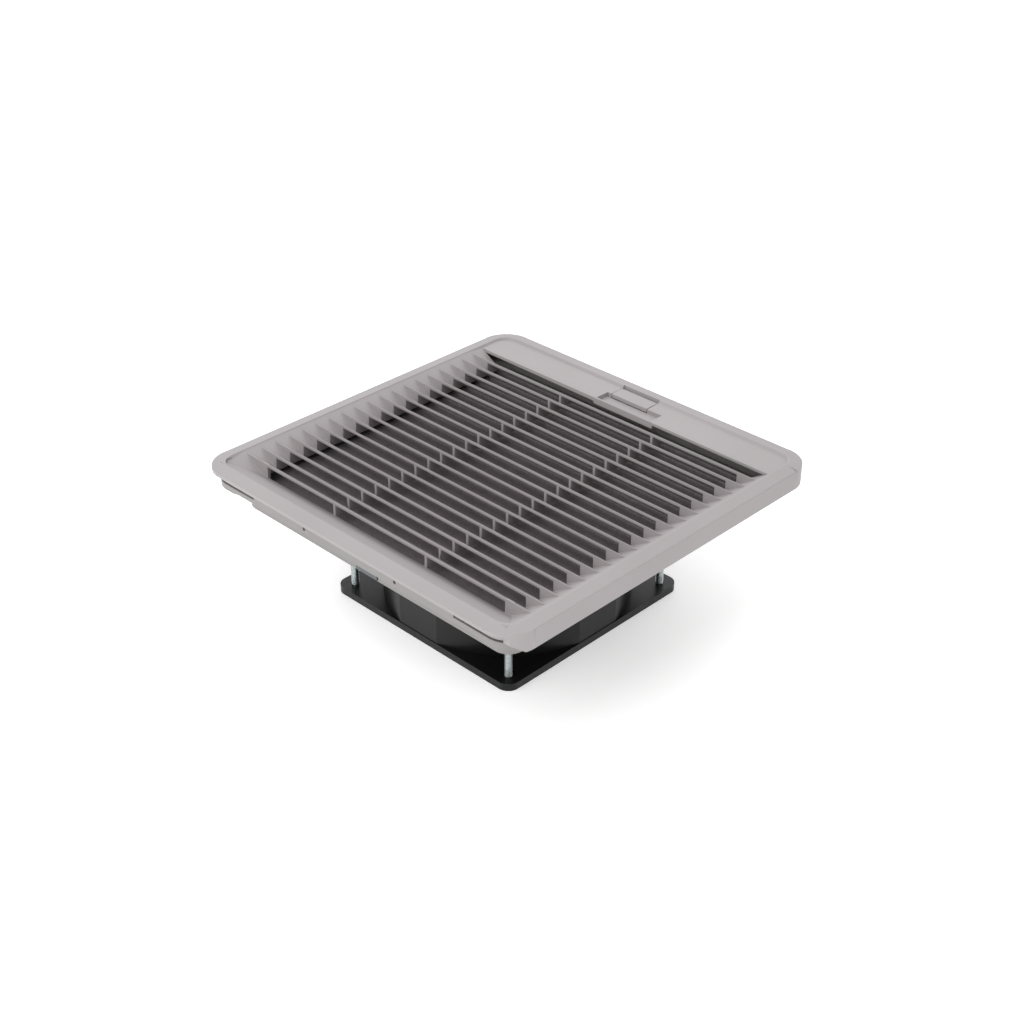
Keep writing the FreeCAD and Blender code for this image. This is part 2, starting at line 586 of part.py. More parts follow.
BOBBIN_START = "yoke_radius + bobbin_fit"
NECK_START = "yoke_radius - cutter_over"
NECK_LENGTH = "shoe_radius - yoke_radius + 2 * cutter_over"
bobbin = cut("bobbin",
             around_neck("bobbin_tube", "neck_width + 2 * bobbin_wall", CORE_TALL + " + 2 * bobbin_wall",
                         "bobbin_corner", BOBBIN_START,
                         "shoe_radius - yoke_radius - bobbin_fit - bobbin_end"),
             around_neck("bobbin_bore", "neck_width + bobbin_fit", CORE_TALL + " + bobbin_fit",
                         "bobbin_fit / 4", NECK_START, NECK_LENGTH))
node(four_times("bobbins", bobbin), "coil_bobbins")
coil = cut("coil",
           around_neck("coil_outer", "neck_width + 2 * bobbin_wall + 2 * coil_build",
                       CORE_TALL + " + 2 * bobbin_wall + 2 * coil_build",
                       "coil_corner", BOBBIN_START + " + coil_inset", "coil_length"),
           around_neck("coil_bore", "neck_width + 2 * bobbin_wall + bobbin_fit",
                       CORE_TALL + " + 2 * bobbin_wall + bobbin_fit",
                       "bobbin_corner + bobbin_fit / 2", NECK_START, NECK_LENGTH))
node(four_times("coils", coil), "stator_coils")

# Terminals: a moulded block on the rear flange beside the barrel, with two blade tabs.
TERMINAL_X = ("terminal_x - terminal_width / 2", "terminal_x + terminal_width / 2")
node(cut("terminal",
         block("terminal_block_blank", TERMINAL_X,
               ("fan_width / 2 - terminal_reach", "fan_width / 2 - terminal_inset"),
               ("fan_flange", "fan_flange + terminal_height")),
         rod("terminal_scoop", "barrel_radius + ring_fit", "fan_depth")), "terminal_block")
tabs = []
for index, side in enumerate((-1, 1)):
    middle = "(terminal_x + %d * tab_spacing / 2)" % side
    tabs.append(block("tab_%d" % index, (middle + " - tab_width / 2", middle + " + tab_width / 2"),
                      ("fan_width / 2 - tab_inset - tab_wall", "fan_width / 2 - tab_inset"),
                      ("fan_flange + terminal_height",
                       "fan_flange + terminal_height + tab_height")))
node(group("tabs", *tabs), "terminal_tabs")

# Fan screws: countersunk in the rear flange, up into brass inserts in the mounting frame.
screws = []
inserts = []
for index, (side_x, side_y) in enumerate(CORNERS):
    place_x = "%d * screw_spacing / 2" % side_x
    place_y = "%d * screw_spacing / 2" % side_y
    stem = rod("screw_stem_%d" % index, "screw_radius",
               "fan_depth + plate_wall + insert_height - screw_backset", place_x, place_y)
    head = cone("screw_head_%d" % index, "screw_head", "screw_radius", "head_height",
                place_x, place_y)
    long_x, long_y = [("(%s) - recess_half" % place, "(%s) + recess_half" % place)
                      for place in (place_x, place_y)]
    slim_x, slim_y = [("(%s) - recess_width / 2" % place, "(%s) + recess_width / 2" % place)
                      for place in (place_x, place_y)]
    recess_z = ("-cutter_over", "recess_depth")
    recess = block("screw_recess_%d" % index, long_x, slim_y, recess_z)
    cross = block("screw_cross_%d" % index, slim_x, long_y, recess_z)
    screws.append(cut("screw_%d" % index, fuse("screw_blank_%d" % index, stem, head), recess, cross))
    inserts.append(cut("insert_%d" % index,
                       rod("insert_blank_%d" % index, "insert_radius", "insert_height",
                           place_x, place_y, PLATE_TOP),
                       rod("insert_bore_%d" % index, "screw_radius + running_fit", "insert_height",
                           place_x, place_y, PLATE_TOP)))
node(group("screws", *screws), "fan_screws")
node(group("inserts", *inserts), "screw_inserts")

# Mounting frame: flange and rim, a duct for the panel cut-out, and a funnel down to the fan plate.
duct_inner = "duct_width - 2 * duct_wall"
funnel_inner = "funnel_width - 2 * duct_wall"
outer = fuse("base_outer",
             slab("base_flange", "base_width", "base_width", "base_corner", FLANGE_BACK, "rim_rise"),
             slab("base_duct", "duct_width", "duct_width", "duct_corner", DUCT_LOW, "duct_depth"),
             tapered("base_funnel", ("funnel_width", "duct_corner"), ("duct_width", "duct_corner"),
                     "fan_depth", "base_depth - duct_depth"))
rim_room = slab("rim_room", "base_width - 2 * rim_wall", "base_width - 2 * rim_wall",
                "base_corner - rim_wall", FLANGE_TOP, "rim_rise")
duct_room = slab("duct_room", duct_inner, duct_inner, "duct_corner - duct_wall", DUCT_LOW,
                 "duct_depth + flange_wall")
funnel_room = tapered("funnel_room", (funnel_inner, "duct_corner - duct_wall"),
                      (duct_inner, "duct_corner - duct_wall"), PLATE_TOP,
                      "base_depth - duct_depth - plate_wall")
plate_bore = rod("plate_bore", "barrel_bore", "plate_wall", z="fan_depth")

bars = []
reach = "duct_width / 2"
for index in range(int(number("grid_count"))):
    place = "((%d - (grid_count - 1) / 2) * grid_pitch)" % index
    span = (place + " - grid_wall / 2", place + " + grid_wall / 2")
    depth = (DUCT_LOW + " - grid_height", DUCT_LOW)
    bars.append(block("bar_x_%d" % index, span, ("-" + reach, reach), depth))
    bars.append(block("bar_y_%d" % index, ("-" + reach, reach), span, depth))
grid = common("grid", fuse("grid_bars", *bars),
              tapered("grid_limit", ("funnel_width - duct_wall", "duct_corner"),
                      ("duct_width - duct_wall", "duct_corner"), "fan_depth",
                      "base_depth - duct_depth"))

GUARD_LOW = "fan_depth + plate_wall - guard_height"
rings = [rod("guard_disc", "guard_hub + guard_wall", "guard_height", z=GUARD_LOW)]
for index in range(1, int(number("guard_rings"))):
    radius = "(guard_hub + %d * guard_pitch)" % index
    rings.append(cut("guard_ring_%d" % index,
                     rod("guard_out_%d" % index, radius + " + guard_wall", "guard_height", z=GUARD_LOW),
                     rod("guard_in_%d" % index, radius, "guard_height", z=GUARD_LOW)))
SPOKE_LONG = ("-barrel_bore - joint_sink", "barrel_bore + joint_sink")
SPOKE_SLIM = ("-guard_wall / 2", "guard_wall / 2")
spokes = [block("spoke_x", SPOKE_LONG, SPOKE_SLIM, (GUARD_LOW, PLATE_TOP)),
          block("spoke_y", SPOKE_SLIM, SPOKE_LONG, (GUARD_LOW, PLATE_TOP))]

bosses = []
holes = []
for index, (side_x, side_y) in enumerate(CORNERS):
    place_x = "%d * screw_spacing / 2" % side_x
    place_y = "%d * screw_spacing / 2" % side_y
    bosses.append(rod("insert_boss_%d" % index, "insert_boss", "insert_height",
                      place_x, place_y, PLATE_TOP))
    holes.append(rod("insert_seat_%d" % index, "insert_radius", "insert_height",
                     place_x, place_y, PLATE_TOP))
    holes.append(rod("plate_hole_%d" % index, "screw_radius + screw_clearance",
                     "plate_wall + 2 * cutter_over", place_x, place_y, "fan_depth - cutter_over"))
    holes.append(rod("mount_hole_%d" % index, "mount_hole", "flange_wall + 2 * cutter_over",
                     "%d * mount_spacing / 2" % side_x, "%d * mount_spacing / 2" % side_y,
                     FLANGE_BACK + " - cutter_over"))

# Hinge side of the frame: a boss for each pin, a notch beside it for the cover's knuckle.
HINGE_FRONT = "(-base_width / 2)"
hinge_bosses = []
hinge_cuts = []
for side in (-1, 1):
    name = "left" if side < 0 else "right"
    inner, outer_end = "hinge_start - hinge_boss", "hinge_start"
    span = (inner, outer_end) if side > 0 else ("-(%s)" % outer_end, "-(%s)" % inner)
    boss_x = span[0]
    hinge_bosses.append(rod("boss_round_" + name, "knuckle_radius", "hinge_boss", boss_x,
                            HINGE_Y, HINGE_Z, "x"))
    hinge_bosses.append(block("boss_foot_" + name, span,
                              (HINGE_FRONT, HINGE_Y + " + knuckle_radius"),
                              (FLANGE_TOP + " - joint_sink", HINGE_Z)))
    hinge_cuts.append(rod("boss_bore_" + name, "pin_radius", "hinge_boss + 2 * cutter_over",
                          boss_x + " - cutter_over", HINGE_Y, HINGE_Z, "x"))
    notch = ("hinge_start", "base_width") if side > 0 else ("-base_width", "-hinge_start")
    hinge_cuts.append(block("rim_notch_" + name, notch,
                            ("-base_width", "swing_gap - skirt_start"),
                            (NOTCH, RIM_TOP + " + cutter_over")))
hinge_mass = common("hinge_mass", fuse("hinge_blocks", *hinge_bosses),
                    slab("hinge_limit", "base_width", "base_width", "base_corner", FLANGE_BACK,
                         "edge_rise"))

drains = []
for side in (-1, 1):
    drains.append(rod("drain_%s" % ("left" if side < 0 else "right"), "drain_radius",
                      "rim_wall + 2 * cutter_over", "%d * drain_x" % side,
                      "-base_width / 2 - cutter_over",
                      FLANGE_BACK + " + drain_rise", "y"))
relief = prism("relief", "XZ_Plane", [
    ("-relief_half", FLANGE_BACK + " - cutter_over"),
    ("relief_half", FLANGE_BACK + " - cutter_over"),
    ("relief_half", FLANGE_BACK),
    ("relief_half - relief_ramp", FLANGE_BACK + " + relief_rise"),
    ("relief_ramp - relief_half", FLANGE_BACK + " + relief_rise"),
    ("-relief_half", FLANGE_BACK)], "base_width / 2 - rim_wall", "rim_wall + cutter_over")

# Latch side of the frame: a keeper bridge for the latch's hook.
KEEPER_Y = "(hook_front + hook_wall + hook_nose + keeper_gap)"
KEEPER_TOP = "(fan_depth + base_depth + rim_rise - keeper_drop)"
keeper = [block("keeper_bar", ("latch_middle - keeper_half - keeper_leg",
                               "latch_middle + keeper_half + keeper_leg"),
                (KEEPER_Y, "base_width / 2 - rim_wall / 2"),
                (KEEPER_TOP + " - keeper_wall", KEEPER_TOP))]
for side in (-1, 1):
    inner = "latch_middle + %d * keeper_half" % side
    outer_end = "latch_middle + %d * (keeper_half + keeper_leg)" % side
    span = (inner, outer_end) if side > 0 else (outer_end, inner)
    keeper.append(block("keeper_leg_%s" % ("left" if side < 0 else "right"), span,
                        (KEEPER_Y, "base_width / 2 - rim_wall / 2"),
                        (FLANGE_TOP + " - joint_sink", KEEPER_TOP)))

shell_base = cut("base_shell", outer, rim_room, duct_room, funnel_room, plate_bore)
base_mass = fuse("base_mass", shell_base, grid, hinge_mass, *(rings + spokes + bosses + keeper))
node(cut("base", base_mass, relief, *(holes + hinge_cuts + drains)), "base_frame")

# Hinge pins: pressed in the frame's bosses and running in the cover's knuckles.
pins = []
for side in (-1, 1):
    inner = "hinge_start - hinge_boss + pin_inset"
    length = "hinge_boss + knuckle_length - 2 * pin_inset"
    start = inner if side > 0 else "-(%s) - (%s)" % (inner, length)
    pins.append(rod("hinge_pin_%s" % ("left" if side < 0 else "right"), "pin_radius", length,
                    start, HINGE_Y, HINGE_Z, "x"))
node(group("hinge_pair", *pins), "hinge_pins")

# Gasket under the flange, spring clips on the duct and the filter mat in it.
gasket_holes = []
for index, (side_x, side_y) in enumerate(CORNERS):
    gasket_holes.append(rod("gasket_hole_%d" % index, "mount_hole",
                            "gasket_height + 2 * cutter_over",
                            "%d * mount_spacing / 2" % side_x, "%d * mount_spacing / 2" % side_y,
                            FLANGE_BACK + " - gasket_height - cutter_over"))
node(cut("gasket",
         slab("gasket_blank", "gasket_outer", "gasket_outer", "gasket_corner",
              FLANGE_BACK + " - gasket_height", "gasket_height"),
         slab("gasket_room", "gasket_inner", "gasket_inner", "gasket_corner",
              FLANGE_BACK + " - gasket_height", "gasket_height"),
         *gasket_holes), "panel_gasket")

clips = []
DUCT_FACE = "(duct_width / 2)"
clip = prism("clip_leaf", "XZ_Plane", [
    (DUCT_FACE, DUCT_LOW + " + clip_foot"),
    (DUCT_FACE + " + clip_sheet", DUCT_LOW + " + clip_foot"),
    (DUCT_FACE + " + clip_sheet", DUCT_LOW + " + clip_knee"),
    (DUCT_FACE + " + clip_spread", DUCT_LOW + " + clip_peak"),
    (DUCT_FACE + " + clip_sheet", DUCT_LOW + " + clip_end"),
    (DUCT_FACE, DUCT_LOW + " + clip_end - clip_sheet"),
    (DUCT_FACE + " + clip_spread - clip_sheet", DUCT_LOW + " + clip_peak"),
    (DUCT_FACE, DUCT_LOW + " + clip_knee + clip_sheet")], "0", "clip_length", symmetric=True)
node(four_times("clips", clip), "panel_clips")
node(slab("mat", duct_inner + " - 2 * mat_clearance", duct_inner + " - 2 * mat_clearance",
          "duct_corner - duct_wall", DUCT_LOW, "mat_height"), "filter_mat")

# Cover blank: a rounded tray with a bevelled edge, a crest and a plateau just below it.
cover = doc.addObject("PartDesign::Body", "cover_blank")
cover_sketch = new_sketch(cover, "XY_Plane", FLANGE_BACK + " + skirt_gap")
draw_rounded(cover_sketch, "cover_width", "cover_width", "cover_corner")
pad(cover, cover_sketch, "edge_rise - skirt_gap")
bevel = tapered("cover_bevel", ("cover_width", "cover_corner"),
                ("cover_width - 2 * crest_inset", "cover_corner - crest_inset"),
                EDGE, "crest_rise")
LAND = "(crest_inset + crest_land)"
well_top = tapered("plateau_room",
                   ("cover_width - 2 * (crest_inset + crest_land + rim_slope)",
                    "cover_corner - crest_inset - crest_land - rim_slope"),
                   ("cover_width - 2 * %s" % LAND, "cover_corner - %s" % LAND),
                   TOP, "rim_drop")
under_room = slab("under_room", "cover_width - 2 * skirt_wall", "cover_width - 2 * skirt_wall",
                  "cover_corner - skirt_wall", FLANGE_BACK,
                  "edge_rise + crest_rise - rim_drop - top_wall")
hinge_room = prism("hinge_room", "YZ_Plane", [
    ("-cover_width", FLANGE_BACK), ("-skirt_start", FLANGE_BACK),
    ("-skirt_start", FLANGE_BACK + " + skirt_gap"), ("-sweep_start", LIP_LOW),
    ("-sweep_start", UNDER), ("-cover_width", UNDER)], "0", "cover_width + 2 * cutter_over",
    symmetric=True)
field_room = common("field_room",
                    block("field_block", ("-louvre_width / 2", "louvre_width / 2"),
                          ("-slope_start", LAST_LIP), (FLANGE_BACK, CREST + " + cutter_over")),
                    slab("field_corners", "2 * slope_start", "2 * slope_start",
                         "cover_corner - %s" % LAND, FLANGE_BACK,
                         "edge_rise + crest_rise + cutter_over"))
tray = cut("cover_tray", fuse("cover_mass", cover, bevel), well_top, under_room, hinge_room,
           field_room)

# Louvres: one inclined blade with its two cross ribs, repeated along Y.
FIRST = "(-first_lip)"
SECOND = "(louvre_pitch - first_lip)"
bank = doc.addObject("PartDesign::Body", "louvre_bank")
blade_sketch = new_sketch(bank, "YZ_Plane")
draw_outline(blade_sketch, [
    (FIRST, TOP), (SECOND, TROUGH), (SECOND, TROUGH + " - blade_wall"), (FIRST, TOP + " - blade_wall")])
blade_pad = pad(bank, blade_sketch, "louvre_width", symmetric=True)
rib_pads = []
for side in (-1, 1):
    rib_sketch = new_sketch(bank, "YZ_Plane", "%d * rib_spacing / 2 - rib_wall / 2" % side)
    draw_outline(rib_sketch, [
        (FIRST, TOP + " - blade_wall / 2"), (SECOND, TROUGH + " - blade_wall / 2"),
        (SECOND, TROUGH + " - blade_wall"), (FIRST, TROUGH + " - blade_wall")])
    rib_pads.append(pad(bank, rib_sketch, "rib_wall"))
pattern = bank.newObject("PartDesign::LinearPattern", "louvre_pattern")
pattern.Originals = [blade_pad] + rib_pads
pattern.Direction = (blade_sketch, ["H_Axis"])
bind(pattern, Length="louvre_pitch * (louvre_count - 1)", Occurrences="louvre_count")
bank.Tip = pattern

# The slope from the crest down to the first window, and the riser that ends the plateau.
slope = prism("front_slope", "YZ_Plane", [
    ("-slope_start", CREST), (FIRST, TROUGH), (FIRST, TROUGH + " - blade_wall"),
    ("-slope_start", CREST + " - rim_drop - top_wall")], "0", "louvre_width", symmetric=True)
field_limit = prism("field_limit", "XZ_Plane", [
    ("-window_width / 2", TROUGH + " - blade_wall"), ("window_width / 2", TROUGH + " - blade_wall"),
    ("louvre_width / 2", UNDER), ("louvre_width / 2", CREST),
    ("-louvre_width / 2", CREST), ("-louvre_width / 2", UNDER)],
    "-(%s)" % LAST_LIP, "%s + slope_start" % LAST_LIP)
stops = []
for side in (-1, 1):
    inner = "%d * (window_width / 2 - stop_length)" % side
    outer_end = "%d * (window_width / 2 + joint_sink)" % side
    span = (inner, outer_end) if side > 0 else (outer_end, inner)
    stops.append(block("window_stop_%s" % ("left" if side < 0 else "right"), span,
                       (FIRST, FIRST + " + rib_wall"),
                       (TROUGH + " - blade_wall", TOP + " - blade_wall / 2")))
field = common("louvre_field", fuse("louvre_mass", bank, slope, *stops), field_limit)

# Louvre ends: a wedge on each side, hollowed by the scoops that run up from the windows.
wedges = []
for side in (-1, 1):
    sign = "-" if side < 0 else ""
    wedges.append(prism("end_wedge_%s" % ("left" if side < 0 else "right"), "XZ_Plane", [
        (sign + "window_width / 2", TROUGH + " - blade_wall"),
        (sign + "window_width / 2", TOP),
        (sign + "(louvre_width / 2 + joint_sink)", TOP),
        (sign + "(louvre_width / 2 + joint_sink)", UNDER),
        (sign + "louvre_width / 2", UNDER)], "-(%s)" % LAST_LIP, "%s + slope_start" % LAST_LIP))
ramps = prism("ramp_limit", "XZ_Plane", [
    ("-window_width / 2", TROUGH), ("window_width / 2", TROUGH),
    ("louvre_width / 2", TOP), ("louvre_width / 2", CREST + " + 2 * cutter_over"),
    ("-louvre_width / 2", CREST + " + 2 * cutter_over"), ("-louvre_width / 2", TOP)],
    "-(%s)" % LAST_LIP, "%s + slope_start + cutter_over" % LAST_LIP)
saw = doc.addObject("PartDesign::Body", "saw_room")
saw_sketch = new_sketch(saw, "YZ_Plane")
draw_outline(saw_sketch, [(FIRST, TOP), (SECOND, TROUGH), (SECOND, TOP)])
saw_pad = pad(saw, saw_sketch, "louvre_width + 2 * cutter_over", symmetric=True)
saw_pattern = saw.newObject("PartDesign::LinearPattern", "saw_pattern")
saw_pattern.Originals = [saw_pad]
saw_pattern.Direction = (saw_sketch, ["H_Axis"])
bind(saw_pattern, Length="louvre_pitch * (louvre_count - 1)", Occurrences="louvre_count")
saw.Tip = saw_pattern
slope_room = prism("slope_room", "YZ_Plane", [
    ("-slope_start", CREST), (FIRST, TROUGH), (FIRST, CREST + " + cutter_over"),
    ("-slope_start", CREST + " + cutter_over")], "0", "louvre_width + 2 * cutter_over",
    symmetric=True)
above_slope = prism("above_slope", "YZ_Plane", [
    ("-slope_start", UNDER), (FIRST, TROUGH + " - blade_wall"), (LAST_LIP, TROUGH + " - blade_wall"),
    (LAST_LIP, CREST), ("-slope_start", CREST)], "0", "cover_width", symmetric=True)
ends = cut("louvre_ends", common("end_limit", fuse("end_wedges", *wedges), above_slope),
           common("scoops", fuse("saw_rooms", saw, slope_room), ramps))

# Hinge side of the cover: a lip in line with the frame's rim, with a knuckle for each pin.
lip_ring = cut("lip_ring",
               slab("lip_outer", "base_width", "base_width", "base_corner",
                    LIP_LOW, UNDER + " - " + LIP_LOW + " + joint_sink"),
               slab("lip_inner", "base_width - 2 * rim_wall", "base_width - 2 * rim_wall",
                    "base_corner - rim_wall", NOTCH,
                    UNDER + " - " + NOTCH + " + cutter_over"))
lip_zones = []
knuckles = []
knuckle_bores = []
for side in (-1, 1):
    name = "left" if side < 0 else "right"
    low, high = "hinge_start + side_gap", "cover_width / 2"
    span = (low, high) if side > 0 else ("-(%s)" % high, "-(%s)" % low)
    lip_zones.append(block("lip_zone_" + name, span, ("-cover_width / 2", "-skirt_start"),
                           (NOTCH, UNDER + " + cutter_over")))
    end = "hinge_start + side_gap + knuckle_length"
    span = (low, end) if side > 0 else ("-(%s)" % end, "-(%s)" % low)
    knuckles.append(rod("knuckle_" + name, "knuckle_radius", "knuckle_length", span[0],
                        HINGE_Y, HINGE_Z, "x"))
    knuckles.append(block("knuckle_web_" + name, span,
                          ("-base_width / 2", HINGE_Y + " + knuckle_radius"),
                          (HINGE_Z, UNDER + " + joint_sink")))
    knuckle_bores.append(rod("knuckle_bore_" + name, "pin_radius + running_fit",
                             "knuckle_length + 2 * cutter_over", span[0] + " - cutter_over",
                             HINGE_Y, HINGE_Z, "x"))
lips = common("cover_lips", lip_ring, fuse("lip_zones", *lip_zones))

# Latch side of the cover: a finger well, a release slot, the latch opening and ears for its pin.
LATCH_LEFT = "(latch_middle - latch_half)"
LATCH_RIGHT = "(latch_middle + latch_half)"
WELL_LEFT = "(latch_middle - well_left)"
WELL_RIGHT = "(latch_middle + well_right)"
WELL_LOW = "(fan_depth + base_depth + edge_rise + crest_rise - rim_drop - well_depth)"
well_box = block("well_box", (WELL_LEFT + " - well_floor", WELL_RIGHT + " + well_floor"),
                 (LAST_LIP, "latch_front + well_floor"),
                 (WELL_LOW + " - well_floor", UNDER + " + joint_sink"))
well = prism("well", "YZ_Plane", [
    ("well_front", WELL_LOW), ("latch_front", WELL_LOW),
    ("latch_front", CREST), ("well_front", CREST)], WELL_LEFT, "well_left + well_right")
release = block("release_slot", (WELL_RIGHT + " - release_width", WELL_RIGHT),
                ("well_front", "well_front + release_length"), (FLANGE_BACK, CREST))
latch_slot = block("latch_slot", (LATCH_LEFT + " - latch_gap", LATCH_RIGHT + " + latch_gap"),
                   ("latch_front - latch_gap", "latch_axis + latch_pivot + latch_gap"),
                   (FLANGE_BACK, CREST + " + cutter_over"))
ears = []
for side in (-1, 1):
    start = LATCH_RIGHT + " + latch_gap"
    if side < 0:
        start = LATCH_LEFT + " - latch_gap - ear_width"
    ears.append(rod("ear_%s" % ("left" if side < 0 else "right"), "latch_pivot", "ear_width",
                    start, "latch_axis", LATCH_Z, "x"))
PIN_REACH = "(latch_half + latch_gap + ear_width - ear_cover)"


def latch_bar(name, radius, reach):
    """A cylinder on the latch's axis that reaches equally to both sides of its middle."""
    return rod(name, radius, "2 * %s" % reach, "latch_middle - %s" % reach, "latch_axis", LATCH_Z, "x")


cover_mass = fuse("cover_parts", tray, field, ends, lips, well_box, *(knuckles + ears))
node(cut("cover", cover_mass, well, release, latch_slot,
         latch_bar("ear_bore", "latch_pin", PIN_REACH), *knuckle_bores), "louvre_cover")

# Latch: a moulded tab that turns on a pin at its rear edge, with a lip to lift and a hook below.
tab = prism("latch_tab", "YZ_Plane", [
    ("latch_front", TOP), ("latch_axis", TOP), ("latch_axis", TOP + " - latch_wall"),
    ("latch_front + latch_lip", TOP + " - latch_wall"),
    ("latch_front + latch_lip", WELL_LOW), ("latch_front", WELL_LOW)],
    LATCH_LEFT, "2 * latch_half")
hook_low = TOP + " - hook_reach"
hook = prism("latch_hook", "YZ_Plane", [
    ("hook_front", TOP + " - latch_wall / 2"), ("hook_front", hook_low),
    ("hook_front + hook_wall", hook_low),
    ("hook_front + hook_wall + hook_nose", hook_low + " + nose_low"),
    ("hook_front + hook_wall + hook_nose", hook_low + " + nose_high"),
    ("hook_front + hook_wall", hook_low + " + nose_top"),
    ("hook_front + hook_wall", TOP + " - latch_wall / 2")],
    "latch_middle - hook_half", "2 * hook_half")
barrel = latch_bar("latch_barrel", "latch_pivot", "latch_half")
latch_bore = latch_bar("latch_bore", "latch_pin + running_fit", "(latch_half + cutter_over)")
node(cut("latch_lever", fuse("latch_mass", tab, barrel, hook), latch_bore), "cover_latch")
node(latch_bar("latch_rod", "latch_pin", PIN_REACH), "latch_pin")

NODES = [
    "louvre_cover", "cover_latch", "latch_pin", "hinge_pins", "filter_mat", "base_frame",
    "panel_gasket", "panel_clips", "screw_inserts", "fan_screws", "fan_frame", "impeller",
    "rotor_cup", "rotor_laminations", "rotor_end_rings", "rotor_shaft", "shaft_clip", "bearing_cap",
    "preload_spring", "front_bearing_outer_ring", "front_bearing_inner_ring",
    "front_bearing_balls", "rear_bearing_outer_ring", "rear_bearing_inner_ring",
    "rear_bearing_balls", "stator_laminations", "coil_bobbins", "stator_coils", "terminal_block",
    "terminal_tabs",
]

doc.recompute()
for item in doc.Objects:
    if "Invalid" in item.State or "Error" in item.State:
        raise RuntimeError("%s did not rebuild: %s" % (item.Label, item.State))

os.makedirs("parts", exist_ok=True)
for label in NODES:
    piece = doc.getObjectsByLabel(label)[0]
    shape = piece.Shape
    if shape.isNull() or not shape.isValid():
        raise RuntimeError("%s has no valid shape" % label)
    shape.exportStep("parts/%s.step" % label)
    box = shape.BoundBox
    print("%-28s solids %2d volume %10.1f  x %7.2f %7.2f  y %7.2f %7.2f  z %6.2f %6.2f" % (
        label, len(shape.Solids), shape.Volume,
        box.XMin, box.XMax, box.YMin, box.YMax, box.ZMin, box.ZMax))
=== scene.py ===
import json
import math

import bmesh
import bpy
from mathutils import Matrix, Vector, noise

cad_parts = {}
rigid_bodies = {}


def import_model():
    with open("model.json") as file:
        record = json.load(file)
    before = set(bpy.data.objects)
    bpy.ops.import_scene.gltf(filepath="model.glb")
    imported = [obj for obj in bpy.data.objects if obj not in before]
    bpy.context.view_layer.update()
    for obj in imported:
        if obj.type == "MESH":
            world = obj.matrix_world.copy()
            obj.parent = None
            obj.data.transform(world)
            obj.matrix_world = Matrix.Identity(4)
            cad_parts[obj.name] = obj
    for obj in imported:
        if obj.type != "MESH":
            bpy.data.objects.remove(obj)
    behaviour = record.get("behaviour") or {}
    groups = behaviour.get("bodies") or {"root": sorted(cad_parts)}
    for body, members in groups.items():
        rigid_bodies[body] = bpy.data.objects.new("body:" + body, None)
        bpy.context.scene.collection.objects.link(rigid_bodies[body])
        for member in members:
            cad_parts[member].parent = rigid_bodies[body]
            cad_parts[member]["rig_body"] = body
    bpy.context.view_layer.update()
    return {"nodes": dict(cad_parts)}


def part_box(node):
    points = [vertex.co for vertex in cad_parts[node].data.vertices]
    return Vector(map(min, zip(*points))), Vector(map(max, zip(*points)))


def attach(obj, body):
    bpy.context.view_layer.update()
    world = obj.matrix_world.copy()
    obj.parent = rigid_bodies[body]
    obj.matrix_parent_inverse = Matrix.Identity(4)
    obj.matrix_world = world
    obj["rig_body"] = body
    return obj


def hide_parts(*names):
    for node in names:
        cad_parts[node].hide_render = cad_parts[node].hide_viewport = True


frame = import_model()

# The picture: the unit lies face up on a white table, seen over its near corner. The table is
# opal acrylic lit from below, as studios use to wash out shadows, and the room round it is white.
# One large soft lamp hangs high in front, and a weaker one behind.
mm = 0.001
view_azimuth = math.radians(44.57)
view_height = math.radians(31.64)
view_distance = 777.6 * mm
aim = Vector((8.3, -5.3, 50.0)) * mm
lens_length = 58.22
nearest_seen = 10 * mm
white_tone = "#FFFFFF"
table_tone = "#F4F4F4"
table_size = 40.0
table_glow = 0.42
room_glow = 0.68
lamp_width = 1.5
lamps = (("front_lamp", (-0.3, -1.0, 1.3), 14.5), ("back_lamp", (-0.6, 1.0, 1.2), 8.5))


def linear(hex_colour):
    """An sRGB hex colour as the linear values that shaders use."""
    channels = [int(hex_colour[i:i + 2], 16) / 255 for i in (1, 3, 5)]
    bent = [c / 12.92 if c <= 0.04045 else ((c + 0.055) / 1.055) ** 2.4 for c in channels]
    return (*bent, 1.0)


def add_node(tree, kind, sockets=None, **settings):
    """A shader node with its settings; a socket takes a value or another node's output."""
    node = tree.nodes.new("ShaderNode" + kind)
    for name, value in settings.items():
        setattr(node, name, value)
    for name, value in (sockets or {}).items():
        if isinstance(value, bpy.types.NodeSocket):
            tree.links.new(value, node.inputs[name])
        else:
            node.inputs[name].default_value = value
    return node


def start_material(name, shader):
    """A material with an empty tree, its shader and its output."""
    material = bpy.data.materials.new(name)
    material.use_nodes = True
    tree = material.node_tree
    tree.nodes.clear()
    surface = add_node(tree, "BsdfPrincipled", shader)
    add_node(tree, "OutputMaterial", {"Surface": surface.outputs["BSDF"]})
    return material, tree, surface


def place_object(name, data, location=(0, 0, 0)):
    """A new object, linked to the scene."""
    thing = bpy.data.objects.new(name, data)
    thing.location = location
    bpy.context.scene.collection.objects.link(thing)
    return thing


eye = Vector((math.sin(view_azimuth) * math.cos(view_height),
              -math.cos(view_azimuth) * math.cos(view_height), math.sin(view_height)))
camera = place_object("camera", bpy.data.cameras.new("camera"), aim + eye * view_distance)
camera.data.lens = lens_length
camera.data.clip_start = nearest_seen
camera.rotation_euler = (-eye).to_track_quat("-Z", "Y").to_euler()
scene = bpy.context.scene
scene.camera = camera
scene.view_settings.view_transform = "Standard"

